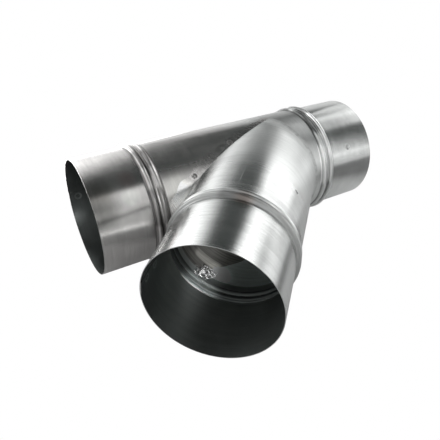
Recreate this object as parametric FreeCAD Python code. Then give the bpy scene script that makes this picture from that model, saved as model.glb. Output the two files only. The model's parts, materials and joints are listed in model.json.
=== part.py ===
import FreeCAD, Part
import math
import os
from FreeCAD import Vector, Placement, Rotation

# Oblique duct tee, 100 mm, in thin galvanised sheet. All sizes are in millimetres.
# A straight run carries an equal branch that leaves it at 45 degrees. Each of the three
# open ends is a beaded collar that a duct or hose slips over.
# The pieces are built round the crossing of the two axes, run along X and branch in the
# horizontal plane, and are then moved so that the origin is under the middle of the part.

# Sheet and fits
sheet = 0.5
lap_clearance = 0.1

# Collars: the plain lengths that show, and the longest tail inside the tube
spigot_radius = 50.0
left_spigot_length = 44.0
right_spigot_length = 48.5
branch_spigot_length = 55.5
collar_tail = 12.0

# Angle between run and branch, and the plain length of each tube between the nearest
# corner of the saddle and the tube's locking bead
branch_angle = 45.0
left_land = 2.8
right_land = 10.2
branch_land = 7.8

# Rolled beads
stop_bead_width = 6.5
stop_bead_height = 3.0
lock_bead_width = 6.5
lock_bead_height = 2.0
bead_foot_radius = 1.4
end_lip = 0.4
end_gap = 0.2

# Step in the branch tube, from its wider saddle end down to its collar
neck_length = 4.5
neck_lead = 2.8

# Saddle flange of the branch, on the crotch side and on the heel side. The edge on the
# crotch side is rippled by the hammer. The hole in the run stays inside the branch.
left_flange_width = 6.0
right_flange_width = 4.0
flange_back = 5.0
flange_ripple = 0.7
flange_ripple_pitch = 8.0
hole_margin = 0.6

# Flare on the heel side, where the branch wall turns out into the flange: how far it
# reaches along the wall and the flange, where round the run it ends, and its fullness
flare_wall_reach = 12.0
flare_flange_reach = 3.4
flare_end_angle = 87.0
flare_sections = 19
flare_fullness = 0.6
flare_sink = 0.1
flare_root = 0.2

# Lengthwise seams: laps in the run and the collars, a butt seam along the branch
seam_width = 10.0
run_seam_angle = 215.0
left_seam_angle = -8.0
right_seam_angle = 30.0
branch_collar_seam_angle = 4.5
branch_seam_angle = 90.0
butt_seam_width = 0.5
butt_seam_depth = 0.12

# Spot welds: on the collars' seams by their distance from the rim, on the flange by their
# angle round the run above the horizontal
collar_weld_diameter = 6.0
flange_weld_diameter = 4.5
weld_depth = 0.2
weld_clearance = 3.0
left_collar_welds = (8.0, 28.0)
right_collar_welds = (28.0,)
branch_collar_welds = (11.0, 26.0)
left_flange_welds = (68.0, 43.0, 22.0, -22.0, -43.0, -68.0)
right_flange_welds = (58.0, 4.0, -48.0)
crown_weld_offset = 5.5
branch_weld_reach = 92.5
branch_weld_angle = 141.8

# Points closer than this are one point
same_point = 0.000001

# Sizes that follow from the ones above
body_outer = spigot_radius + lap_clearance + sheet
branch_inner = body_outer + lap_clearance
branch_outer = branch_inner + sheet
half_angle = math.radians(branch_angle) / 2
crotch_reach = branch_outer / math.tan(half_angle)
heel_reach = branch_outer * math.tan(half_angle)
far = 3 * (crotch_reach + branch_spigot_length + branch_outer)

ORIGIN = Vector(0, 0, 0)
RUN_AXIS = Vector(1, 0, 0)
UP = Vector(0, 0, 1)
BRANCH_AXIS = Vector(-math.cos(2 * half_angle), -math.sin(2 * half_angle), 0)
MITRE_LEFT = Vector(-math.cos(half_angle), -math.sin(half_angle), 0)
MITRE_RIGHT = UP.cross(MITRE_LEFT)


class Profile:
    """A chain of lines and arcs in the plane of an axis: u runs along it, r away from it."""

    def __init__(self, u, r):
        self.at = Vector(u, r, 0)
        self.start = self.at
        self.edges = []

    def line(self, u, r):
        end = Vector(u, r, 0)
        if end.distanceToPoint(self.at) > same_point:
            self.edges.append(Part.LineSegment(self.at, end).toShape())
            self.at = end

    def arc(self, centre, radius, angle_from, angle_to):
        def point(angle):
            return centre + Vector(math.cos(angle), math.sin(angle), 0) * radius
        self.line(point(angle_from).x, point(angle_from).y)
        middle = point((angle_from + angle_to) / 2)
        end = point(angle_to)
        self.edges.append(Part.Arc(self.at, middle, end).toShape())
        self.at = end

    def bead(self, u, r, width, height, inset):
        """A rolled ridge that starts at u on a surface of radius r, or inset below it."""
        half = width / 2
        sweep = 2 * math.atan(height / half)
        crest_radius = (half ** 2 + height ** 2) / (2 * height) - bead_foot_radius
        foot = bead_foot_radius + inset
        top = crest_radius - inset
        down = -math.pi / 2
        up = math.pi / 2
        self.arc(Vector(u, r + bead_foot_radius, 0), foot, down, down + sweep)
        self.arc(Vector(u + half, r + height - crest_radius, 0), top, up + sweep, up - sweep)
        self.arc(Vector(u + width, r + bead_foot_radius, 0), foot, down - sweep, down)

    def step(self, u, length, r_from, r_to):
        """A smooth step between two radii, as two equal arcs."""
        rise = r_to - r_from
        sweep = 2 * math.atan(abs(rise) / length)
        radius = length / 2 / math.sin(sweep)
        side = 1 if rise > 0 else -1
        first = Vector(u, r_from + side * radius, 0)
        last = Vector(u + length, r_to - side * radius, 0)
        half_turn = math.pi / 2
        self.arc(first, radius, -side * half_turn, -side * (half_turn - sweep))
        self.arc(last, radius, side * (half_turn + sweep), side * half_turn)

    def reversed_edges(self):
        return list(reversed(self.edges))


def revolve(outer, inner):
    """The solid of revolution about the u axis between an outer and an inner profile."""
    head = Part.LineSegment(inner.start, outer.start).toShape()
    tail = Part.LineSegment(outer.at, inner.at).toShape()
    loop = [head] + outer.edges + [tail] + inner.reversed_edges()
    face = Part.Face(Part.Wire(Part.__sortEdges__(loop)))
    return face.revolve(ORIGIN, RUN_AXIS, 360)


def along(direction):
    """The placement that turns the u axis, drawn along +X, to a horizontal direction."""
    turn = math.degrees(math.atan2(direction.y, direction.x))
    return Placement(ORIGIN, Rotation(UP, turn))


def placed(shape, direction):
    shape.Placement = along(direction)
    return shape


def tube(inner, outer, start, end, direction):
    ring = Part.makeCylinder(outer, end - start, RUN_AXIS * start, RUN_AXIS)
    bore = Part.makeCylinder(inner, end - start, RUN_AXIS * start, RUN_AXIS)
    return placed(ring.cut(bore), direction)


def strip(inner, outer, start, end, width, angle, direction):
    """A narrow lengthwise strip of a tube. The angle of its middle is measured upwards
    from the horizontal, on the right of somebody who looks out along the arm."""
    corners = [Vector(start, inner, 0), Vector(end, inner, 0),
               Vector(end, outer, 0), Vector(start, outer, 0)]
    face = Part.Face(Part.makePolygon(corners + corners[:1]))
    sweep = math.degrees(width / outer)
    shape = face.revolve(ORIGIN, RUN_AXIS, sweep)
    roll = Placement(ORIGIN, Rotation(RUN_AXIS, 180 - angle - sweep / 2))
    shape.Placement = along(direction).multiply(roll)
    return shape


class Arm:
    """One of the three arms: its direction, and places along it from the crossing."""

    def __init__(self, direction, corner, land, spigot_length, seam_angle, welds):
        self.direction = direction
        self.seam_angle = seam_angle
        self.welds = welds
        self.lock_start = corner + land
        self.tail_start = max(corner, self.lock_start - collar_tail)
        self.body_end = self.lock_start + lock_bead_width + end_lip
        self.stop_start = self.body_end + end_gap
        self.stop_end = self.stop_start + stop_bead_width
        self.rim = self.stop_end + spigot_length


LEFT = Arm(RUN_AXIS * -1, crotch_reach, left_land, left_spigot_length,
           left_seam_angle, left_collar_welds)
RIGHT = Arm(RUN_AXIS, heel_reach, right_land, right_spigot_length,
            right_seam_angle, right_collar_welds)
BRANCH = Arm(BRANCH_AXIS, crotch_reach, branch_land, branch_spigot_length,
             branch_collar_seam_angle, branch_collar_welds)


def collar(arm):
    """A rolled collar: tail inside the tube, lock bead, stop bead, plain spigot to the rim."""
    below_body = sheet + lap_clearance
    lines = []
    for depth in (0.0, sheet):
        line = Profile(arm.tail_start, spigot_radius - depth)
        line.bead(arm.lock_start, body_outer, lock_bead_width, lock_bead_height,
                  below_body + depth)
        line.bead(arm.stop_start, spigot_radius, stop_bead_width, stop_bead_height, depth)
        line.line(arm.rim, spigot_radius - depth)
        lines.append(line)
    ring = placed(revolve(lines[0], lines[1]), arm.direction)
    inside = spigot_radius - sheet
    for start, end in ((arm.tail_start, arm.lock_start), (arm.stop_end, arm.rim)):
        lap = strip(inside - sheet, inside + sheet / 2, start, end, seam_width,
                    arm.seam_angle, arm.direction)
        ring = ring.fuse(lap)
    return ring


def weld_tool(surface_point, outward, diameter):
    """A lens that leaves the shallow round dent of a welding electrode in a sheet."""
    half = diameter / 2
    ball_radius = (half ** 2 + weld_depth ** 2) / (2 * weld_depth)
    ball = Part.makeSphere(ball_radius, surface_point + outward * (ball_radius - weld_depth))
    reach = sheet + weld_clearance
    plug = Part.makeCylinder(half, reach, surface_point - outward * sheet, outward)
    return ball.common(plug)


def on_arm(u, radius, angle, direction):
    """A point on an arm's surface, and the outward direction there."""
    side = direction.cross(UP)
    turn = math.radians(angle)
    outward = side * math.cos(turn) + UP * math.sin(turn)
    return direction * u + outward * radius, outward


def collar_with_welds(arm):
    """The collar with the weld dents of its own seam, which show outside and inside."""
    ring = collar(arm)
    for inset in arm.welds:
        point, outward = on_arm(arm.rim - inset, spigot_radius, arm.seam_angle, arm.direction)
        ring = ring.cut(weld_tool(point, outward, collar_weld_diameter))
        inner_point = point - outward * (2 * sheet)
        ring = ring.cut(weld_tool(inner_point, outward * -1, collar_weld_diameter))
    return ring


def upright(edges, height):
    """The block over and under a closed outline in the horizontal plane."""
    block = Part.Face(Part.Wire(edges)).extrude(UP * (2 * height))
    block.translate(UP * -height)
    return block


def wedge(margin, height):
    """The space on the branch's side of its two mitre planes with the run, which cross at
    right angles over the crossing of the axes. The margin moves both planes outwards."""
    corner = (MITRE_LEFT + MITRE_RIGHT) * -margin
    points = [corner, corner + MITRE_LEFT * far, corner + MITRE_RIGHT * far, corner]
    return upright(Part.makePolygon(points).Edges, height)


def flange_zone(height):
    """The wedge moved out by the widths of the flange, with a rippled left side."""
    corner = MITRE_RIGHT * -left_flange_width - MITRE_LEFT * right_flange_width
    points = []
    for n in range(round(crotch_reach / flange_ripple_pitch) + 2):
        ripple = flange_ripple * math.cos(math.pi * n)
        points.append(corner + MITRE_LEFT * (n * flange_ripple_pitch) + MITRE_RIGHT * ripple)
    edge = Part.BSplineCurve()
    edge.interpolate(points)
    right_end = corner + MITRE_RIGHT * far
    sides = Part.makePolygon([points[-1], points[-1] + MITRE_LEFT * far, right_end, points[0]])
    return upright([edge.toShape()] + sides.Edges, height)


def run_tube():
    """The rolled body of the run, with a locking bead over each collar."""
    lines = []
    for depth in (0.0, sheet):
        line = Profile(-LEFT.body_end, body_outer - depth)
        line.bead(-LEFT.lock_start - lock_bead_width, body_outer, lock_bead_width,
                  lock_bead_height, depth)
        line.bead(RIGHT.lock_start, body_outer, lock_bead_width, lock_bead_height, depth)
        line.line(RIGHT.body_end, body_outer - depth)
        lines.append(line)
    body = revolve(lines[0], lines[1])
    lap = strip(body_outer - sheet / 2, body_outer + sheet, -LEFT.lock_start,
                RIGHT.lock_start, seam_width, run_seam_angle, RUN_AXIS)
    return body.fuse(lap).cut(wedge(-hole_margin, branch_outer))


def branch_wall():
    """The branch tube proper, necked down over its collar and locked by a bead."""
    neck_start = BRANCH.lock_start - neck_lead - neck_length
    lines = []
    for depth in (0.0, sheet):
        line = Profile(-branch_outer, branch_outer - depth)
        line.step(neck_start, neck_length, branch_outer - depth, body_outer - depth)
        line.bead(BRANCH.lock_start, body_outer, lock_bead_width, lock_bead_height, depth)
        line.line(BRANCH.body_end, body_outer - depth)
        lines.append(line)
    wall = placed(revolve(lines[0], lines[1]), BRANCH_AXIS)
    seam = strip(branch_outer - butt_seam_depth, branch_outer + sheet, -branch_outer,
                 neck_start, butt_seam_width, branch_seam_angle, BRANCH_AXIS)
    return wall.cut(seam)


def saddle_flange():
    """The strip turned out onto the run all round the saddle. It has the radii of the
    branch wall, so the two meet in the mitre planes."""
    height = 2 * branch_outer
    shell = tube(branch_inner, branch_outer, sheet - LEFT.lock_start, RIGHT.lock_start,
                 RUN_AXIS)
    behind = Part.makeBox(2 * far, far, 2 * height, Vector(-far, flange_back, -height))
    strip_zone = flange_zone(height).cut(behind)
    return shell.common(strip_zone).cut(wedge(0, height))


def saddle_point(angle, side, beside=0.0):
    """A point at an angle round the run, on the line where branch wall and flange meet or
    some way beside it on the flange, and the outward direction there."""
    turn = math.radians(angle)
    outward = Vector(0, -math.cos(turn), math.sin(turn))
    y = branch_outer * outward.y
    if side == "left":
        x = y / math.tan(half_angle) - beside / math.sin(half_angle)
    else:
        x = -y * math.tan(half_angle) + beside / math.cos(half_angle)
    return Vector(x, 0, 0) + outward * branch_outer, outward


def unit(vector):
    return vector / vector.Length


def away_from(axis, point):
    """The unit vector from an axis through the crossing straight out to a point."""
    return unit(point - axis * point.dot(axis))


def flare_foot(axis, corner, along_saddle, other_normal, reach):
    """Where the flare ends on the tube round an axis, and the way along that tube."""
    straight_out = away_from(axis, corner)
    way = unit(straight_out.cross(along_saddle))
    if way.dot(other_normal) < 0:
        way = way * -1
    beside = corner + way * reach
    spoke = beside - axis * beside.dot(axis)
    height = spoke.dot(straight_out)
    sideways_squared = spoke.Length ** 2 - height ** 2
    foot_height = math.sqrt((branch_outer - flare_sink) ** 2 - sideways_squared)
    end = beside + straight_out * (foot_height - height)
    end_way = unit(along_saddle.cross(away_from(axis, end)))
    return end, end_way * math.copysign(1, end_way.dot(way))


def flare_section(angle):
    """The outline of the flare, square to the saddle line: a curve that leaves the flange
    and meets the branch wall smoothly, closed by two lines inside the sheet."""
    corner, run_normal = saddle_point(angle, "right")
    branch_normal = away_from(BRANCH_AXIS, corner)
    along_saddle = unit(run_normal.cross(branch_normal))
    low, low_way = flare_foot(RUN_AXIS, corner, along_saddle, branch_normal,
                              flare_flange_reach)
    high, high_way = flare_foot(BRANCH_AXIS, corner, along_saddle, run_normal,
                                flare_wall_reach)
    curve = Part.BezierCurve()
    curve.setPoles([low, low - low_way * flare_flange_reach * flare_fullness,
                    high - high_way * flare_wall_reach * flare_fullness, high])
    root = corner - unit(run_normal + branch_normal) * flare_root
    return Part.Wire([curve.toShape(), Part.makeLine(high, root), Part.makeLine(root, low)])


def flare():
    """The metal that rounds the corner between branch wall and flange on the heel side."""
    step = 2 * flare_end_angle / (flare_sections - 1)
    sections = [flare_section(n * step - flare_end_angle) for n in range(flare_sections)]
    return Part.makeLoft(sections, True)


def branch_tube_welds():
    """The points and directions of the welds seen on the flange and the branch."""
    welds = [saddle_point(angle, "left", left_flange_width / 2) for angle in left_flange_welds]
    welds += [saddle_point(angle, "right", right_flange_width / 2)
              for angle in right_flange_welds]
    welds += [(Vector(-crown_weld_offset, 0, 0) + up * branch_outer, up)
              for up in (UP, UP * -1)]
    welds.append(on_arm(branch_weld_reach, branch_outer, branch_weld_angle, BRANCH_AXIS))
    return welds


def branch_tube():
    """Branch wall, saddle flange and flare in one sheet, with the welds that hold it to
    the run."""
    shape = branch_wall().common(wedge(0, 2 * branch_outer)).fuse(saddle_flange())
    shape = shape.fuse(flare())
    for point, outward in branch_tube_welds():
        shape = shape.cut(weld_tool(point, outward, flange_weld_diameter))
    return shape


def pieces():
    return {
        "run_tube": run_tube(),
        "branch_tube": branch_tube(),
        "left_collar": collar_with_welds(LEFT),
        "right_collar": collar_with_welds(RIGHT),
        "branch_collar": collar_with_welds(BRANCH),
    }


def main():
    os.makedirs("parts", exist_ok=True)
    shapes = pieces()
    box = Part.makeCompound(list(shapes.values())).optimalBoundingBox(False)
    shift = Vector(-(box.XMin + box.XMax) / 2, -(box.YMin + box.YMax) / 2, -box.ZMin)
    print("crossing of the axes at", [round(value, 4) for value in shift])
    print("size", [round(value, 3) for value in (box.XLength, box.YLength, box.ZLength)])
    for name, shape in shapes.items():
        shape.translate(shift)
        solids = shape.Solids
        print(name, "valid" if shape.isValid() else "NOT VALID", "solids", len(solids),
              "volume", round(shape.Volume, 1))
        Part.makeCompound(solids).exportStep("parts/%s.step" % name)


main()
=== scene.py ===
import json
import math
from collections import namedtuple

import bpy
from mathutils import Matrix, Vector
from mathutils.geometry import intersect_line_line

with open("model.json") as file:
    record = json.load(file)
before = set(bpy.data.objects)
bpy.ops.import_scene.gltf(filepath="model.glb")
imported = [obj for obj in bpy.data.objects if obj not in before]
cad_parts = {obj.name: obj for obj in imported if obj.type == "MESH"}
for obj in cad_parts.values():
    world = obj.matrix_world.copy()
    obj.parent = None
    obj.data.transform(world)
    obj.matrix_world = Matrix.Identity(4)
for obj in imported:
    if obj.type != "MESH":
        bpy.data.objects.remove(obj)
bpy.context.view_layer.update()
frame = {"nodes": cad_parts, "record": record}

UP = Vector((0.0, 0.0, 1.0))
MILLIMETRE = 0.001
HALF_CIRCLE = 180.0

# The arms, in metres: the directions in which the run's right end and the branch point, and
# the place where their two axes cross
spigots = {mount["name"]: mount for mount in frame["record"]["mounts"]}
RUN = Vector(spigots["right_spigot"]["axis"])
BRANCH = Vector(spigots["branch_spigot"]["axis"])
RUN_PLACE = Vector(spigots["right_spigot"]["pos_m"])
BRANCH_PLACE = Vector(spigots["branch_spigot"]["pos_m"])
CROSSING = intersect_line_line(RUN_PLACE, RUN_PLACE + RUN,
                               BRANCH_PLACE, BRANCH_PLACE + BRANCH)[0]

# Camera: place, direction from the object to the camera, roll, focal length and the distance
# where its view starts
CAMERA_PLACE = Vector((-0.20245, -0.26973, 0.2723))
CAMERA_AZIMUTH = math.radians(-30.612)
CAMERA_ELEVATION = math.radians(34.642)
CAMERA_ROLL = math.radians(0.713)
CAMERA_LENS = 37.70
CAMERA_CLIP = 0.01

# Room: its dim grey, and the soft windows of light. A window has the azimuth (0 is +Y, 90
# is +X) and elevation of its middle, its half width and half height and the width of its
# soft edge, all in degrees, and its strength.
ROOM_COLOUR = (0.052, 0.058, 0.056, 1.0)
WHITE = (1.0, 1.0, 1.0, 1.0)
BACKDROP_BRIGHTNESS = 1.0
WINDOWS = {
    "back_panel": (0.7, 45.0, 10.0, 35.0, 34.0, 3.2),
    "right_panel": (79.7, 34.5, 18.3, 12.0, 12.0, 1.95),
    "front_right_panel": (147.0, 34.5, 13.5, 25.0, 7.0, 1.1),
    "low_wall": (30.0, 4.0, 130.0, 8.0, 9.0, 0.82),
    "low_right_panel": (63.0, 2.5, 14.0, 17.0, 8.0, 1.8),
    "corner_fill": (43.0, 16.0, 7.0, 4.0, 8.0, 0.75),
    "run_fill": (29.0, 18.0, 6.0, 5.0, 6.0, 0.45),
    "far_right_panel": (102.2, 10.4, 10.8, 15.0, 7.0, 2.0),
    "dim_side": (257.0, 32.0, 64.0, 40.0, 8.0, 0.77),
    "mouth_fill": (185.0, 27.0, 4.5, 7.0, 4.0, 9.0),
    "left_wall": (308.0, 16.0, 10.0, 16.0, 8.0, 3.0),
}

# Floor: half its width in metres, its grey, its own faint glow, and the round shades under
# and beside the part, each with its middle, its inner and outer reach in metres and the
# share of the floor's tone that it leaves in its middle
FLOOR_HALF_SIZE = 4.0
FLOOR_GREY = 0.8
FLOOR_GLOW = 0.145
FLOOR_SHADES = ((Vector((-0.165, 0.0, 0.0)), 0.05, 0.42, 0.52),
                (Vector((0.36, -0.27, 0.0)), 0.12, 0.24, 0.25),
                (Vector((0.215, -0.085, 0.0)), 0.04, 0.13, 0.30))

# A bright sector of the floor: the azimuth of its middle, its half width and soft edge in
# degrees, its strength, and how far from the origin it starts and is full, in metres
GLARE_AZIMUTH = -15.0
GLARE_HALF_WIDTH = 27.0
GLARE_SOFT = 16.0
GLARE_STRENGTH = 5.0
GLARE_NEAR = 0.19
GLARE_FAR = 0.29

# A small soft lamp near the right collar: place, the point it faces, width, height, power
LAMP_PLACE = Vector((0.300, 0.189, 0.2386))
LAMP_TARGET = Vector((0.115, 0.054, 0.102))
LAMP_WIDTH = 0.085
LAMP_HEIGHT = 0.085
LAMP_POWER = 0.022


def on_arm(axis, along, radius, angle):
    """A point at a distance along an arm, at a radius and an angle round it, in mm and
    degrees. The angle is 0 at the side on the right of somebody who looks out."""
    side = axis.cross(UP)
    turn = math.radians(angle)
    spoke = side * math.cos(turn) + UP * math.sin(turn)
    return CROSSING + (axis * along + spoke * radius) * MILLIMETRE


# A zone of the metal reaches from a start to an end along the arm, in mm, and from one angle
# round it to another, in degrees, each with soft edges. Without angles it goes all round.
Zone = namedtuple("Zone", "start end soft first_angle last_angle soft_angle",
                  defaults=(None, None, None))

# A spot is round: its place, the distance where it starts to show and the one where it is full
Spot = namedtuple("Spot", "place outer inner")

# A stain, or a spot of painted highlight or painted shade, is a spot with a colour, full within
# a share of its reach
StainOrPaintedLight = namedtuple("StainOrPaintedLight", "place reach colour")
STAIN_AND_LIGHT_CORE = 0.2

# Noise over the metal: scale per metre, detail and roughness. Marks drawn out round the
# axis have a scale along the arm and one round it.
CLOUDS = (38.0, 4.0, 0.6)
GRAIN = (900.0, 2.0, 0.6)
BLOTCHES = (700.0, 3.0, 0.7)
RAGS = (240.0, 2.0, 0.5)
SPLASH_EDGE = (160.0, 4.0, 0.7)
HAMMERING = (260.0, 3.0, 0.6)
WAVES = (22.0, 1.0, 0.4)
SCRATCH_SCALES = (2600.0, 45.0)
SCRATCH_DETAIL = 3.0
BAND_SCALES = (520.0, 14.0)
BAND_DETAIL = 4.0
MARK_ROUGHNESS = 0.6

# How squarely a surface faces away from the axis, or to it, to count as outside or inside
FULL_FACING = 0.2

# Radii, in mm: of the plain walls of collars, tubes and branch, the little that a facet may
# lie under or over them with its soft edge, and the ones between which a groove gets painted
# shade
PLAIN_RADII = (50.0, 50.6, 51.2)
FACET_UNDER = 0.06
FACET_OVER = 0.03
FACET_SOFT = 0.02
GROOVE_TOP = 51.8
GROOVE_FOOT = 50.5

# The run's beads, and where their reflections differ from those of plain round ridges: the lit
# zones get painted highlights and the zones of dark ridges painted shade. A level zone reflects
# as a plain wall does. The right beads lie at positive distances and the left ones at negative
# distances.
RUN_BEADS = (Zone(-140.2, -126.2, 0.8), Zone(31.2, 45.2, 0.8))
RUN_LEVEL = (Zone(30.0, 38.3, 1.0, 62.0, 90.0, 14.0), Zone(29.0, 31.6, 0.8, -30.0, 90.0, 14.0))
LIT_RIGHT_RIDGE = (Zone(39.5, 45.2, 0.8, 54.0, 82.0, 12.0),)
LIT_RIGHT_GROOVE = (Zone(36.5, 40.0, 1.0, 5.0, 50.0, 12.0),)
LIT_RIGHT_FOOT = (Zone(30.2, 33.0, 1.0, 5.0, 34.0, 12.0),)
SHADED_RIGHT_RIDGES = (Zone(33.8, 38.0, 1.0, 58.0, 86.0, 10.0),
                     Zone(38.5, 42.8, 0.8, 86.0, 110.0, 8.0),
                     Zone(31.5, 38.5, 0.8, 107.0, 130.0, 8.0))
LIT_LEFT_GROOVE = (Zone(-134.0, -131.8, 0.6, 12.0, 50.0, 8.0),)
SHADED_LEFT_RIDGES = (Zone(-131.8, -128.5, 0.7, 66.0, 80.0, 8.0),
                    Zone(-131.8, -128.5, 0.7, 12.0, 38.0, 8.0),
                    Zone(-139.8, -133.8, 0.7, 66.0, 80.0, 8.0),
                    Zone(-139.8, -133.8, 0.7, 12.0, 38.0, 8.0))

# The run's wall, in mm and degrees: it gets rough towards the right beads, it has painted
# shade on top there, and it is softer low on the left. The left mouth's inside has painted
# shade, and the warm cast of the left arm starts and is full at two distances.
ROUGH_START = -34.0
ROUGH_FULL = 6.0
ROUGH_FADE = 31.0
ROUGH_END = 35.0
SHADED_TOP = (90.0, 110.0, 12.0)
SOFT_LEFT = (Zone(-126.0, 0.0, 4.0, 10.0, 50.0, 12.0),)
MOUTH_START = -110.0
MOUTH_FULL = -130.0
WARM_START = -10.0
WARM_FULL = -60.0

# The branch's beads and neck, with a faint painted shade on the neck. The first ridge is level
# and the second is a rough plain band with painted shade, and both have painted shade on top.
# The groove's painted shade between them fades out at the second.
BRANCH_BEADS = (Zone(131.2, 145.2, 0.8),)
NECK = (Zone(125.0, 128.0, 2.2),)
BRANCH_LEVEL = (Zone(124.0, 130.8, 1.2),)
ROUGH_SHADED_BAND = (Zone(139.7, 146.2, 0.7),)
SHADED_CROWN = (Zone(131.2, 146.2, 0.7, 84.0, 97.0, 12.0),)
GROOVE_FADE = 141.0
GROOVE_END = 142.5

# Inside the branch, in mm and degrees. What faces the axis is inside only under a radius
# that grows at the neck, because the flange faces it too.
INSIDE_STEP = (123.5, 126.0)
INSIDE_RADII = (51.1, 54.0)

# The sleeve lies behind the neck. Its ragged end lies farther out with each degree round the
# axis, and past that end it gets deep, with painted shade in streaks and one painted highlight
# streak. The sleeve has a painted sheen that grows from one angle to another, and a painted
# highlight spot.
SLEEVE_EDGE = 125.5
SLEEVE_FULL = 124.0
SLEEVE_END = 173.4
SLEEVE_SLOPE = 0.95
SLEEVE_RAGGED = 6.0
SLEEVE_PAST = (2.5, 4.0)
SHEEN_ANGLES = (-50.0, -80.0)
SHEEN = (1.5, 3.0)
SLEEVE_HIGHLIGHT = Spot(on_arm(BRANCH, 117.0, 49.6, -70.0), 18.0, 4.0)
HIGHLIGHT_STREAK = (Zone(104.0, 111.0, 3.0, -66.0, -44.0, 8.0),)

# The inner side of the branch's beads, which gets painted shade: its painted highlight spot, and
# the edge that catches the light and is left out of that shade, with where that starts and is
# full and its two angles and soft edge
BEAD_HIGHLIGHT = Spot(on_arm(BRANCH, 142.0, 52.0, -58.0), 26.0, 6.0)
LIT_EDGE_REACH = (142.0, 144.0)
LIT_EDGE_ANGLES = (-64.0, -42.0, 12.0)

# A ragged bright patch inside the branch, at its collar's inner end, in mm: torn bright sheet,
# whose brightness is partly painted highlight. Noise eats into its edge.
SPLASHES = (on_arm(BRANCH, 124.5, 49.6, -55.5), on_arm(BRANCH, 120.5, 49.6, -60.0))
SPLASH_OUTER = 16.5
SPLASH_INNER = 14.0
SPLASH_RAGGED = 16.0

# The saddle, in mm. Each of its two mitre planes is square to a direction towards the
# branch. The flange starts and is full at two distances in that direction, and the heel's
# rough rim too. The haze on the branch's wall grows towards the saddle between two distances
# along the branch, and the left part of the flange has a painted highlight.
OFF_RIGHT_MITRE = (BRANCH - RUN).normalized()
OFF_LEFT_MITRE = UP.cross(OFF_RIGHT_MITRE)
FLANGE_EDGE = 0.3
FLANGE_FULL = -0.5
HEEL_RIM_START = 12.0
HEEL_RIM_FULL = 4.0
HAZE_START = 115.0
HAZE_FULL = 35.0
FLANGE_HIGHLIGHT = Spot(on_arm(-RUN, 111.0, 51.2, 154.0), 20.0, 8.0)

# The marks of the spot welds: on the collars, on the flange of the saddle, on the crown of
# the junction and on the branch's wall. Lengths in mm, angles in degrees.
WELDS = [on_arm(*weld) for weld in (
    (-RUN, 176.0, 49.5, -8.0), (-RUN, 156.0, 49.5, -8.0), (RUN, 65.5, 50.0, 30.0),
    (BRANCH, 189.5, 49.7, 4.5), (BRANCH, 174.5, 49.7, 4.5),
    (RUN, -54.1, 51.2, 68.0), (RUN, -98.2, 51.2, 43.0), (RUN, 16.4, 51.2, -48.0),
    (RUN, -5.5, 51.2, 90.0), (BRANCH, 92.5, 51.2, 141.8))]

# Round a weld, in mm: where its dirt starts and is full, and its ring with soft edges
WELD_DIRT = (3.1, 1.9)
WELD_RING = (2.2, 3.1, 0.6)

# Stains and spots of painted light: a warm stain on the branch's beads and one on the left arm,
# then two dark spots of painted shade at the left rim and two light spots of painted highlight
# on both sides of the left beads
STAINS_AND_PAINTED_LIGHT = (StainOrPaintedLight(on_arm(BRANCH, 143.0, 53.0, 99.0), 11.0, (1.0, 0.90, 0.84, 1.0)),
          StainOrPaintedLight(on_arm(-RUN, 152.0, 50.0, 123.0), 10.0, (1.0, 0.87, 0.87, 1.0)),
          StainOrPaintedLight(on_arm(-RUN, 178.0, 50.0, 132.0), 17.0, (0.58, 0.56, 0.53, 1.0)),
          StainOrPaintedLight(on_arm(-RUN, 177.0, 50.0, 149.0), 16.0, (0.58, 0.57, 0.55, 1.0)),
          StainOrPaintedLight(on_arm(-RUN, 154.0, 50.0, 141.0), 11.0, (1.32, 1.32, 1.28, 1.0)),
          StainOrPaintedLight(on_arm(-RUN, 116.0, 50.0, 141.0), 16.0, (1.22, 1.21, 1.16, 1.0)))

# Casts of the grey: outside, inside, deep inside the branch, and warm on the left arm
OUTER_CAST = (0.985, 1.0, 0.99, 1.0)
INNER_CAST = (0.93, 1.0, 0.98, 1.0)
DEEP_CAST = (0.99, 0.97, 0.90, 1.0)
WARM_CAST = (1.0, 0.975, 0.96, 1.0)

# Where a noise starts to count and is full, and what it then gives
BLOTCHED = (0.40, 0.56)
SPLASH_BLOTCHED = (0.36, 0.56, 0.15, 1.0)
HAMMERED = (0.42, 0.60)
# The deep streaks are painted shade in streaks, deep inside the branch
DEEP_STREAKS = (0.35, 0.65, 0.27, 0.43)
TORN = (0.42, 0.58, 0.1, 1.3)

# Shades: the darkest grey, the weights of the noises on it, what the bright patch adds as
# painted highlight, how much of the painted inner shade is left on the beads and of the welds'
# dirt inside, and the factor of each mark and zone. The weld and hammer marks are the metal's
# own;
# the factors inside, in the grooves, in the left mouth, on the neck, on the inner bead and in
# the zones of dark ridges, bands, crowns and tops are painted shade, and those on the beads and
# in the lit and highlight zones are painted highlights.
BASE_SHADE = 0.26
SCRATCH_SHADE = 0.24
GRAIN_SHADE = 0.10
RUN_BAND_SHADE = 0.16
RUN_CLOUD_SHADE = 0.28
BRANCH_BAND_SHADE = 0.26
BRANCH_CLOUD_SHADE = 0.18
SPLASH_SHADE = 0.75
INSIDE_BEAD_DIM = 0.35
INSIDE_WELD_DIRT = 0.4
FACTORS = {
    "inside": 0.42, "bead": 1.04, "groove": 0.42, "weld_dirt": 0.35, "weld_ring": 1.12,
    "ring_inside": 1.6, "lit_right_ridge": 1.5, "lit_right_foot": 2.0,
    "lit_left_groove": 2.0, "shaded_right_ridges": 0.40, "shaded_left_ridges": 0.45,
    "lit_right_groove": 2.0, "shaded_top": 0.72, "left_mouth": 0.65, "neck": 0.95,
    "bead_highlight": 4.4, "flange": 0.85, "hammered": 1.15, "rough_shaded_band": 0.65,
    "shaded_crown": 0.55, "highlight_streak": 2.4, "sleeve_highlight": 2.0, "inner_bead": 0.40,
    "flange_highlight": 1.7,
}

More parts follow.
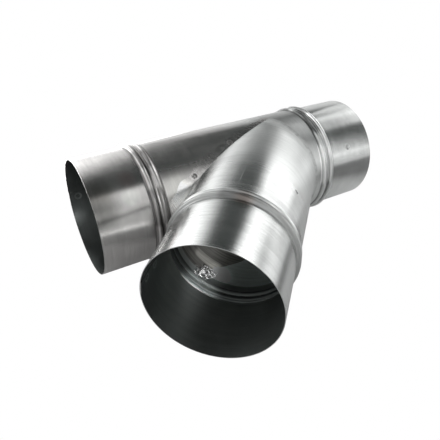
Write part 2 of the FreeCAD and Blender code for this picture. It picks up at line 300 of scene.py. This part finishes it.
# Roughness: of the bare sheet, and what each noise, mark and zone adds
BASE_ROUGHNESS = 0.15
ROUGHNESS = {
    "scratches": 0.08, "clouds": 0.07, "inside": 0.16, "bead": 0.10, "weld_dirt": 0.30,
    "rough_run": 0.13, "soft_left": 0.10, "neck": 0.04, "rough_shaded_band": 0.12,
    "heel_rim": 0.15, "flange": 0.04, "haze": 0.24, "polished": -0.20,
}
ANISOTROPY = 0.5

# Relief: the weight of each noise in the fine relief, and the strength and depth in metres
# of the fine relief and of the sheet's slow waves
RELIEF = {"scratches": 0.5, "bands": 0.35, "grain": 0.3, "hammered": 1.2, "splash": 60.0}
FINE_STRENGTH = 0.25
FINE_DEPTH = 0.00003
WAVE_STRENGTH = 0.5
WAVE_DEPTH = 0.0006


class Graph:
    """Adds nodes to one node tree. A value is a number, a tuple or another node's output."""

    def __init__(self, tree):
        self.tree = tree
        self.tree.nodes.clear()

    def add(self, kind, inputs=None, **settings):
        node = self.tree.nodes.new(kind)
        for name, value in settings.items():
            setattr(node, name, value)
        for name, value in (inputs or {}).items():
            self.feed(node.inputs[name], value)
        return node

    def feed(self, socket, value):
        if isinstance(value, bpy.types.NodeSocket):
            self.tree.links.new(value, socket)
        else:
            socket.default_value = value

    def math(self, operation, *values):
        node = self.add("ShaderNodeMath", operation=operation)
        for socket, value in zip(node.inputs, values):
            self.feed(socket, value)
        return node.outputs[0]

    def fold(self, operation, result, *values):
        """Joins several values, one after another, by the same operation."""
        for value in values:
            result = self.math(operation, result, value)
        return result

    def total(self, *values):
        return self.fold("ADD", *values)

    def product(self, *values):
        return self.fold("MULTIPLY", *values)

    def smallest(self, *values):
        return self.fold("MINIMUM", *values)

    def largest(self, *values):
        return self.fold("MAXIMUM", *values)

    def weighted(self, start, parts):
        """The start, plus each value times its weight."""
        return self.total(start, *[self.product(value, weight) for value, weight in parts])

    def vector(self, operation, *values):
        node = self.add("ShaderNodeVectorMath", operation=operation)
        for socket, value in zip(node.inputs, values):
            self.feed(socket, value)
        name = "Value" if operation in ("DOT_PRODUCT", "DISTANCE", "LENGTH") else "Vector"
        return node.outputs[name]

    def scaled(self, vector, factor):
        node = self.add("ShaderNodeVectorMath", {"Vector": vector, "Scale": factor},
                        operation="SCALE")
        return node.outputs["Vector"]

    def combined(self, x, y, z):
        return self.add("ShaderNodeCombineXYZ", {"X": x, "Y": y, "Z": z}).outputs[0]

    def ramp(self, value, start, end, low=0.0, high=1.0):
        """Goes smoothly from low at start to high at end."""
        node = self.add("ShaderNodeMapRange", interpolation_type="SMOOTHSTEP")
        for name, number in (("Value", value), ("From Min", start), ("From Max", end),
                             ("To Min", low), ("To Max", high)):
            self.feed(node.inputs[name], number)
        return node.outputs["Result"]

    def inverse(self, mask):
        """1 where a mask is 0, and 0 where it is 1."""
        return self.ramp(mask, 1.0, 0.0)

    def between(self, value, start, end, soft):
        """1 between start and end, and 0 outside, with soft edges."""
        return self.product(self.ramp(value, start - soft, start),
                            self.ramp(value, end + soft, end))

    def noise(self, vector, scale, detail, roughness):
        node = self.add("ShaderNodeTexNoise", {"Vector": vector, "Scale": scale,
                                               "Detail": detail, "Roughness": roughness})
        return node.outputs["Fac"]

    def mix(self, factor, first, second):
        """A colour between two colours."""
        node = self.add("ShaderNodeMix", data_type="RGBA")
        self.feed(node.inputs["Factor"], factor)
        self.feed(node.inputs[6], first)
        self.feed(node.inputs[7], second)
        return node.outputs[2]

    def camera_or_room(self, seen, lit):
        """One shader for what the camera sees, and another for what lights the part."""
        return self.add("ShaderNodeMixShader",
                        {0: self.add("ShaderNodeLightPath").outputs["Is Camera Ray"],
                         1: lit.outputs[0], 2: seen.outputs[0]}).outputs[0]


def place_facing(thing, place, right, back):
    """Puts an object in the scene, with its right and back sides turned in given ways."""
    turn = Matrix((right, back.cross(right), back)).transposed().to_4x4()
    thing.matrix_world = Matrix.Translation(place) @ turn
    bpy.context.scene.collection.objects.link(thing)


def make_camera():
    back = Vector((math.sin(CAMERA_AZIMUTH) * math.cos(CAMERA_ELEVATION),
                   -math.cos(CAMERA_AZIMUTH) * math.cos(CAMERA_ELEVATION),
                   math.sin(CAMERA_ELEVATION)))
    level = UP.cross(back).normalized()
    right = level * math.cos(CAMERA_ROLL) + back.cross(level) * math.sin(CAMERA_ROLL)
    data = bpy.data.cameras.new("camera")
    data.lens = CAMERA_LENS
    data.clip_start = CAMERA_CLIP
    camera = bpy.data.objects.new("camera", data)
    place_facing(camera, CAMERA_PLACE, right, back)
    bpy.context.scene.camera = camera


def window_light(graph, azimuth, elevation, window):
    """How much of one soft window is seen in a direction."""
    middle, height, half_width, half_height, soft, strength = window
    aside = graph.math("WRAP", graph.math("SUBTRACT", azimuth, middle),
                       HALF_CIRCLE, -HALF_CIRCLE)
    across = graph.math("ABSOLUTE", aside)
    up = graph.math("ABSOLUTE", graph.math("SUBTRACT", elevation, height))
    return graph.product(graph.ramp(across, half_width + soft / 2, half_width - soft / 2),
                         graph.ramp(up, half_height + soft / 2, half_height - soft / 2),
                         strength)


def make_world():
    world = bpy.data.worlds.new("studio")
    world.use_nodes = True
    graph = Graph(world.node_tree)
    direction = graph.add("ShaderNodeTexCoord").outputs["Generated"]
    parts = graph.add("ShaderNodeSeparateXYZ", {"Vector": direction})
    x, y, z = (parts.outputs[name] for name in "XYZ")
    azimuth = graph.math("DEGREES", graph.math("ARCTAN2", x, y))
    elevation = graph.math("DEGREES", graph.math("ARCSINE", z))
    light = graph.total(*[window_light(graph, azimuth, elevation, window)
                          for window in WINDOWS.values()])
    room = graph.add("ShaderNodeBackground", {"Color": ROOM_COLOUR, "Strength": 1.0})
    lamps = graph.add("ShaderNodeBackground", {"Color": WHITE, "Strength": light})
    lit = graph.add("ShaderNodeAddShader", {0: room.outputs[0], 1: lamps.outputs[0]})
    backdrop = graph.add("ShaderNodeBackground", {"Color": WHITE,
                                                  "Strength": BACKDROP_BRIGHTNESS})
    graph.add("ShaderNodeOutputWorld", {"Surface": graph.camera_or_room(backdrop, lit)})
    bpy.context.scene.world = world


def floor_glare(graph, position):
    """The glow of the floor's bright sector, which stays clear of the part."""
    place = graph.add("ShaderNodeSeparateXYZ", {"Vector": position})
    azimuth = graph.math("DEGREES", graph.math("ARCTAN2", place.outputs["X"],
                                               place.outputs["Y"]))
    across = graph.math("ABSOLUTE", graph.math("SUBTRACT", azimuth, GLARE_AZIMUTH))
    away = graph.vector("LENGTH", position)
    return graph.product(graph.ramp(across, GLARE_HALF_WIDTH + GLARE_SOFT / 2,
                                    GLARE_HALF_WIDTH - GLARE_SOFT / 2, 0.0, GLARE_STRENGTH),
                         graph.ramp(away, GLARE_NEAR, GLARE_FAR))


def floor_material():
    """Matt and pale. The camera sees it as bright as the backdrop behind it."""
    material = bpy.data.materials.new("floor")
    material.use_nodes = True
    graph = Graph(material.node_tree)
    position = graph.add("ShaderNodeTexCoord").outputs["Object"]
    shaded = graph.product(*[graph.ramp(graph.vector("DISTANCE", position, middle),
                                        near, far, left, 1.0)
                             for middle, near, far, left in FLOOR_SHADES])
    tone = graph.product(shaded, FLOOR_GREY)
    grey = graph.add("ShaderNodeCombineColor", {"Red": tone, "Green": tone, "Blue": tone})
    matt = graph.add("ShaderNodeBsdfDiffuse", {"Color": grey.outputs[0]})
    glow = graph.total(graph.product(shaded, FLOOR_GLOW), floor_glare(graph, position))
    shine = graph.add("ShaderNodeEmission", {"Color": WHITE, "Strength": glow})
    lit = graph.add("ShaderNodeAddShader", {0: matt.outputs[0], 1: shine.outputs[0]})
    backdrop = graph.add("ShaderNodeEmission", {"Color": WHITE,
                                                "Strength": BACKDROP_BRIGHTNESS})
    graph.add("ShaderNodeOutputMaterial", {"Surface": graph.camera_or_room(backdrop, lit)})
    return material


def make_floor():
    mesh = bpy.data.meshes.new("floor")
    half = FLOOR_HALF_SIZE
    mesh.from_pydata([(-half, -half, 0), (half, -half, 0), (half, half, 0), (-half, half, 0)],
                     [], [(0, 1, 2, 3)])
    mesh.materials.append(floor_material())
    floor = bpy.data.objects.new("floor", mesh)
    bpy.context.scene.collection.objects.link(floor)


def make_lamp():
    data = bpy.data.lights.new("collar_lamp", "AREA")
    data.shape = "RECTANGLE"
    data.size = LAMP_WIDTH
    data.size_y = LAMP_HEIGHT
    data.energy = LAMP_POWER
    lamp = bpy.data.objects.new("collar_lamp", data)
    lamp.visible_camera = False
    back = (LAMP_PLACE - LAMP_TARGET).normalized()
    place_facing(lamp, LAMP_PLACE, UP.cross(back).normalized(), back)


class Sheet:
    """Bare galvanised sheet of one tube and its collars, with marks that run round its axis.
    A mask is 1 where it applies and 0 elsewhere, with soft edges. Each kind of sheet has its
    own name, axis, beads, and weights of the bands and clouds in its shade."""

    def __init__(self):
        self.material = bpy.data.materials.new(self.name)
        self.material.use_nodes = True
        self.graph = Graph(self.material.node_tree)
        self.find_place()
        self.find_noises()
        self.on_bead = self.patch(self.beads)
        self.groove = self.graph.product(
            self.on_bead, self.graph.ramp(self.radius, GROOVE_TOP * MILLIMETRE,
                                          GROOVE_FOOT * MILLIMETRE))
        self.find_zones()
        self.find_welds()

    def find_place(self):
        """Where a point lies along the arm, out from it and round it, and which way it faces."""
        graph = self.graph
        self.place = graph.add("ShaderNodeTexCoord").outputs["Object"]
        self.centred = graph.vector("SUBTRACT", self.place, CROSSING)
        self.along = graph.vector("DOT_PRODUCT", self.centred, self.axis)
        self.across = graph.vector("DOT_PRODUCT", self.centred, self.axis.cross(UP))
        self.above = graph.vector("DOT_PRODUCT", self.centred, UP)
        self.turn = graph.math("DEGREES", graph.math("ARCTAN2", self.above, self.across))
        self.radius = graph.math("SQRT", graph.total(graph.product(self.across, self.across),
                                                     graph.product(self.above, self.above)))
        self.straight_out = graph.vector("NORMALIZE", graph.vector(
            "SUBTRACT", self.centred, graph.scaled(self.axis, self.along)))
        facing = graph.vector("DOT_PRODUCT", self.straight_out,
                              graph.add("ShaderNodeTexCoord").outputs["Normal"])
        self.outside = graph.ramp(facing, 0.0, FULL_FACING)
        self.inside = graph.ramp(facing, 0.0, -FULL_FACING)

    def drawn_out(self, scales, detail):
        """Noise drawn out round the axis."""
        along_scale, round_scale = scales
        graph = self.graph
        drawn = graph.combined(graph.product(self.along, along_scale),
                               graph.product(self.across, round_scale),
                               graph.product(self.above, round_scale))
        return graph.noise(drawn, 1.0, detail, MARK_ROUGHNESS)

    def find_noises(self):
        self.scratches = self.drawn_out(SCRATCH_SCALES, SCRATCH_DETAIL)
        self.bands = self.drawn_out(BAND_SCALES, BAND_DETAIL)
        self.clouds = self.graph.noise(self.centred, *CLOUDS)
        self.grain = self.graph.noise(self.centred, *GRAIN)
        self.blotches = self.graph.noise(self.centred, *BLOTCHES)

    def find_zones(self):
        """Each kind of sheet finds its own zones here."""

    def find_welds(self):
        graph = self.graph
        distance = self.nearest(WELDS)
        outer, inner = (reach * MILLIMETRE for reach in WELD_DIRT)
        self.weld_dirt = graph.product(graph.ramp(distance, outer, inner),
                                       graph.ramp(self.blotches, *BLOTCHED),
                                       graph.ramp(self.inside, 0.0, 1.0, 1.0, INSIDE_WELD_DIRT))
        self.weld_ring = graph.between(distance, *(reach * MILLIMETRE for reach in WELD_RING))

    def nearest(self, points):
        """The distance to the nearest of several points."""
        return self.graph.smallest(*[self.graph.vector("DISTANCE", self.place, point)
                                     for point in points])

    def near(self, spot):
        """The mask of a round spot."""
        return self.graph.ramp(self.nearest([spot.place]), spot.outer * MILLIMETRE,
                               spot.inner * MILLIMETRE)

    def reach(self, start, full):
        """The mask that grows along the arm from a start to where it is full, in mm."""
        return self.graph.ramp(self.along, start * MILLIMETRE, full * MILLIMETRE)

    def patch(self, zones):
        """The mask of several zones."""
        graph = self.graph
        masks = []
        for zone in zones:
            mask = graph.between(self.along, zone.start * MILLIMETRE, zone.end * MILLIMETRE,
                                 zone.soft * MILLIMETRE)
            if zone.first_angle is not None:
                mask = graph.product(mask, graph.between(self.turn, zone.first_angle,
                                                         zone.last_angle, zone.soft_angle))
            masks.append(mask)
        return graph.largest(*masks)

    def outside_patch(self, zones):
        return self.graph.product(self.outside, self.patch(zones))

    def tints(self):
        """Masks with the names of the factors that they put on the shade."""
        dim_bead = self.graph.ramp(self.on_bead, 0.0, 1.0, 1.0, INSIDE_BEAD_DIM)
        # Painted shade inside and in the grooves, a faint painted highlight on the beads, and
        # the welds' own dirt and rings
        return [(self.graph.product(self.inside, dim_bead), "inside"),
                (self.on_bead, "bead"),
                (self.groove, "groove"),
                (self.weld_dirt, "weld_dirt"),
                (self.weld_ring, "weld_ring"),
                (self.graph.product(self.weld_ring, self.inside), "ring_inside")]

    def shade(self):
        """How light the metal is."""
        graph = self.graph
        shade = graph.weighted(BASE_SHADE, [(self.scratches, SCRATCH_SHADE),
                                            (self.bands, self.band_shade),
                                            (self.clouds, self.cloud_shade),
                                            (self.grain, GRAIN_SHADE)])
        for mask, name in self.tints():
            shade = graph.product(shade, graph.ramp(mask, 0.0, 1.0, 1.0, FACTORS[name]))
        return shade

    def cast(self):
        """The cast of the grey, without the stains and the spots of painted light and shade."""
        return self.graph.mix(self.inside, OUTER_CAST, INNER_CAST)

    def colour(self):
        cast = self.cast()
        # Stains, and spots of painted highlight and painted shade
        for stain_or_light in STAINS_AND_PAINTED_LIGHT:
            amount = self.near(Spot(stain_or_light.place, stain_or_light.reach, stain_or_light.reach * STAIN_AND_LIGHT_CORE))
            cast = self.graph.mix(amount, cast, stain_or_light.colour)
        return self.graph.scaled(cast, self.shade())

    def roughening(self):
        """Masks and noises with the names of what they add to the roughness."""
        return [(self.scratches, "scratches"), (self.clouds, "clouds"),
                (self.inside, "inside"), (self.on_bead, "bead"),
                (self.weld_dirt, "weld_dirt")]

    def roughness(self):
        return self.graph.weighted(BASE_ROUGHNESS, [(mask, ROUGHNESS[name])
                                                    for mask, name in self.roughening()])

    def relief(self):
        """Noises with the names of their weights in the fine relief."""
        return [(self.scratches, "scratches"), (self.bands, "bands"), (self.grain, "grain")]

    def shaped(self):
        """The masks of what isn't a plain round wall."""
        return [self.on_bead]

    def plain_wall(self):
        graph = self.graph
        walls = [graph.between(self.radius, (wall - FACET_UNDER) * MILLIMETRE,
                               (wall + FACET_OVER) * MILLIMETRE, FACET_SOFT * MILLIMETRE)
                 for wall in PLAIN_RADII]
        return graph.product(graph.largest(*walls), self.outside,
                             *[graph.inverse(mask) for mask in self.shaped()])

    def levelled(self):
        """The surface's direction, turned straight out on the plain walls and where a ridge
        is flat, so that no facet shows there."""
        graph = self.graph
        surface = graph.add("ShaderNodeNewGeometry").outputs["Normal"]
        level = graph.largest(self.level, self.plain_wall())
        tilt = graph.vector("SUBTRACT", self.straight_out, surface)
        return graph.vector("ADD", surface, graph.scaled(tilt, level))

    def normal(self):
        graph = self.graph
        height = graph.total(*[graph.product(value, RELIEF[name])
                               for value, name in self.relief()])
        fine = graph.add("ShaderNodeBump",
                         {"Strength": FINE_STRENGTH, "Distance": FINE_DEPTH, "Height": height,
                          "Normal": graph.vector("NORMALIZE", self.levelled())})
        waves = graph.add("ShaderNodeBump",
                          {"Strength": WAVE_STRENGTH, "Distance": WAVE_DEPTH,
                           "Height": graph.noise(self.centred, *WAVES),
                           "Normal": fine.outputs[0]})
        return waves.outputs[0]

    def finish(self):
        """Joins everything in one metal shader and returns the material."""
        shader = self.graph.add("ShaderNodeBsdfPrincipled",
                                {"Base Color": self.colour(), "Metallic": 1.0,
                                 "Roughness": self.roughness(), "Anisotropic": ANISOTROPY,
                                 "Normal": self.normal(),
                                 "Tangent": self.graph.combined(*self.axis)})
        self.graph.add("ShaderNodeOutputMaterial", {"Surface": shader.outputs[0]})
        return self.material


class RunSheet(Sheet):
    """The run with its two collars. Its left arm is warmer."""

    name = "run_metal"
    axis = RUN
    beads = RUN_BEADS
    band_shade = RUN_BAND_SHADE
    cloud_shade = RUN_CLOUD_SHADE

    def find_zones(self):
        graph = self.graph
        self.level = self.outside_patch(RUN_LEVEL)
        self.rough_run = graph.product(self.reach(ROUGH_START, ROUGH_FULL),
                                       self.reach(ROUGH_END, ROUGH_FADE))
        # Painted shade on top of the rough part and inside the left mouth
        self.shaded_top = graph.product(self.rough_run, graph.between(self.turn, *SHADED_TOP))
        self.left_mouth = graph.product(self.inside, self.reach(MOUTH_START, MOUTH_FULL))
        self.warm = graph.product(graph.inverse(self.inside),
                                  self.reach(WARM_START, WARM_FULL))

    def tints(self):
        # Painted highlights in the lit zones, and painted shade on the dark ridges, on top and
        # in the left mouth
        return super().tints() + [
            (self.patch(LIT_RIGHT_RIDGE), "lit_right_ridge"),
            (self.patch(LIT_RIGHT_GROOVE), "lit_right_groove"),
            (self.outside_patch(LIT_RIGHT_FOOT), "lit_right_foot"),
            (self.outside_patch(LIT_LEFT_GROOVE), "lit_left_groove"),
            (self.outside_patch(SHADED_RIGHT_RIDGES), "shaded_right_ridges"),
            (self.outside_patch(SHADED_LEFT_RIDGES), "shaded_left_ridges"),
            (self.shaded_top, "shaded_top"),
            (self.left_mouth, "left_mouth")]

    def cast(self):
        return self.graph.mix(self.warm, super().cast(), WARM_CAST)

    def roughening(self):
        return super().roughening() + [(self.rough_run, "rough_run"),
                                       (self.outside_patch(SOFT_LEFT), "soft_left")]


class BranchSheet(Sheet):
    """The branch with its collar, neck, sleeve and saddle flange."""

    name = "branch_metal"
    axis = BRANCH
    beads = BRANCH_BEADS
    band_shade = BRANCH_BAND_SHADE
    cloud_shade = BRANCH_CLOUD_SHADE

    def find_zones(self):
        graph = self.graph
        step_start, step_end = (place * MILLIMETRE for place in INSIDE_STEP)
        low, high = (radius * MILLIMETRE for radius in INSIDE_RADII)
        limit = graph.ramp(self.along, step_start, step_end, low, high)
        self.inside = graph.product(self.inside, graph.math("LESS_THAN", self.radius, limit))
        self.groove = graph.product(self.groove, self.reach(GROOVE_END, GROOVE_FADE))
        self.level = self.outside_patch(BRANCH_LEVEL)
        self.on_neck = self.patch(NECK)
        self.rough_shaded_band = self.outside_patch(ROUGH_SHADED_BAND)
        self.ragged = graph.noise(self.centred, *RAGS)
        self.find_saddle()
        self.find_sleeve()
        self.find_inner_bead()

    def find_saddle(self):
        """The flange behind the mitre planes, its hammer marks and the haze on the wall."""
        graph = self.graph
        past_right = graph.vector("DOT_PRODUCT", self.centred, OFF_RIGHT_MITRE)
        past_left = graph.vector("DOT_PRODUCT", self.centred, OFF_LEFT_MITRE)
        edge, full = FLANGE_EDGE * MILLIMETRE, FLANGE_FULL * MILLIMETRE
        self.on_flange = graph.ramp(graph.smallest(past_right, past_left), edge, full)
        self.left_flange = graph.product(self.on_flange, graph.ramp(past_left, edge, full))
        self.heel_rim = graph.ramp(past_right, HEEL_RIM_START * MILLIMETRE,
                                   HEEL_RIM_FULL * MILLIMETRE)
        self.haze = graph.product(self.outside, graph.ramp(past_left, full, edge),
                                  self.reach(HAZE_START, HAZE_FULL))
        hammering = graph.noise(self.centred, *HAMMERING)
        self.hammered = graph.product(self.on_flange, graph.ramp(hammering, *HAMMERED))

    def find_sleeve(self):
        """The collar's sleeve behind the neck, the depth past its end, and the bright patch."""
        graph = self.graph
        self.sleeve = graph.product(self.inside, self.reach(SLEEVE_EDGE, SLEEVE_FULL))
        past_end = graph.weighted(SLEEVE_END * MILLIMETRE,
                                  [(self.turn, SLEEVE_SLOPE * MILLIMETRE), (self.along, -1.0),
                                   (self.clouds, SLEEVE_RAGGED * MILLIMETRE)])
        start, full = (distance * MILLIMETRE for distance in SLEEVE_PAST)
        self.deep = graph.product(self.sleeve, graph.ramp(past_end, start, full))
        ragged_edge = graph.product(graph.noise(self.centred, *SPLASH_EDGE),
                                    SPLASH_RAGGED * MILLIMETRE)
        distance = graph.total(self.nearest(SPLASHES), ragged_edge)
        self.splash = graph.product(self.inside,
                                    graph.ramp(distance, SPLASH_OUTER * MILLIMETRE,
                                               SPLASH_INNER * MILLIMETRE),
                                    graph.ramp(self.blotches, *SPLASH_BLOTCHED))

    def find_inner_bead(self):
        """The inner bead, which gets painted shade but for one edge that catches the light."""
        graph = self.graph
        self.inner_bead = graph.product(self.inside, self.on_bead)
        lit_edge = graph.product(self.reach(*LIT_EDGE_REACH),
                                 graph.between(self.turn, *LIT_EDGE_ANGLES))
        self.shaded_inner_bead = graph.product(self.inner_bead, graph.inverse(lit_edge))
        self.polished = graph.largest(self.splash, graph.product(self.inner_bead, lit_edge))

    def tints(self):
        graph = self.graph
        # Painted shade on the neck, the band, the crown and the inner bead; painted highlights
        # inside the bead, on the streak, the sleeve and the flange
        return super().tints() + [
            (self.on_neck, "neck"),
            (graph.product(self.inner_bead, self.near(BEAD_HIGHLIGHT)), "bead_highlight"),
            (self.on_flange, "flange"),
            (self.hammered, "hammered"),
            (self.rough_shaded_band, "rough_shaded_band"),
            (self.outside_patch(SHADED_CROWN), "shaded_crown"),
            (graph.product(self.deep, self.patch(HIGHLIGHT_STREAK)), "highlight_streak"),
            (graph.product(self.inside, self.near(SLEEVE_HIGHLIGHT)), "sleeve_highlight"),
            (self.shaded_inner_bead, "inner_bead"),
            (graph.product(self.on_flange, self.near(FLANGE_HIGHLIGHT)), "flange_highlight")]

    def shade(self):
        """The common shade, the bright patch with its painted highlight, the painted sheen of
        the sleeve and the painted shade in streaks in the depth behind it."""
        graph = self.graph
        patched = graph.total(super().shade(), graph.product(self.splash, SPLASH_SHADE))
        sheen = graph.product(self.sleeve, graph.ramp(self.turn, *SHEEN_ANGLES, *SHEEN))
        streaks = graph.math("SUBTRACT", graph.ramp(self.bands, *DEEP_STREAKS), 1.0)
        return graph.product(patched, graph.total(sheen, graph.inverse(self.sleeve)),
                             graph.total(1.0, graph.product(self.deep, streaks)))

    def cast(self):
        cast = self.graph.mix(self.deep, super().cast(), DEEP_CAST)
        cast = self.graph.mix(self.splash, cast, WHITE)
        return self.graph.mix(self.left_flange, cast, WARM_CAST)

    def roughening(self):
        return super().roughening() + [(self.on_neck, "neck"), (self.rough_shaded_band, "rough_shaded_band"),
                                       (self.heel_rim, "heel_rim"), (self.on_flange, "flange"),
                                       (self.haze, "haze"), (self.polished, "polished")]

    def relief(self):
        return super().relief() + [
            (self.hammered, "hammered"),
            (self.graph.product(self.splash, self.ragged), "splash")]

    def shaped(self):
        return super().shaped() + [self.graph.largest(self.on_flange, self.on_neck)]

    def levelled(self):
        """The sheet's direction, thrown about outwards where the bright patch is torn."""
        torn = self.graph.product(self.splash, self.graph.ramp(self.ragged, *TORN))
        outwards = self.graph.scaled(self.axis, torn)
        return self.graph.vector("ADD", super().levelled(), outwards)


def dress():
    """Gives every CAD node its material."""
    run_metal = RunSheet().finish()
    branch_metal = BranchSheet().finish()
    metals = {"run_tube": run_metal, "left_collar": run_metal, "right_collar": run_metal,
              "branch_tube": branch_metal, "branch_collar": branch_metal}
    for name, metal in metals.items():
        mesh = frame["nodes"][name].data
        mesh.materials.clear()
        mesh.materials.append(metal)


bpy.context.scene.view_settings.view_transform = "Standard"
make_camera()
make_world()
make_floor()
make_lamp()
dress()
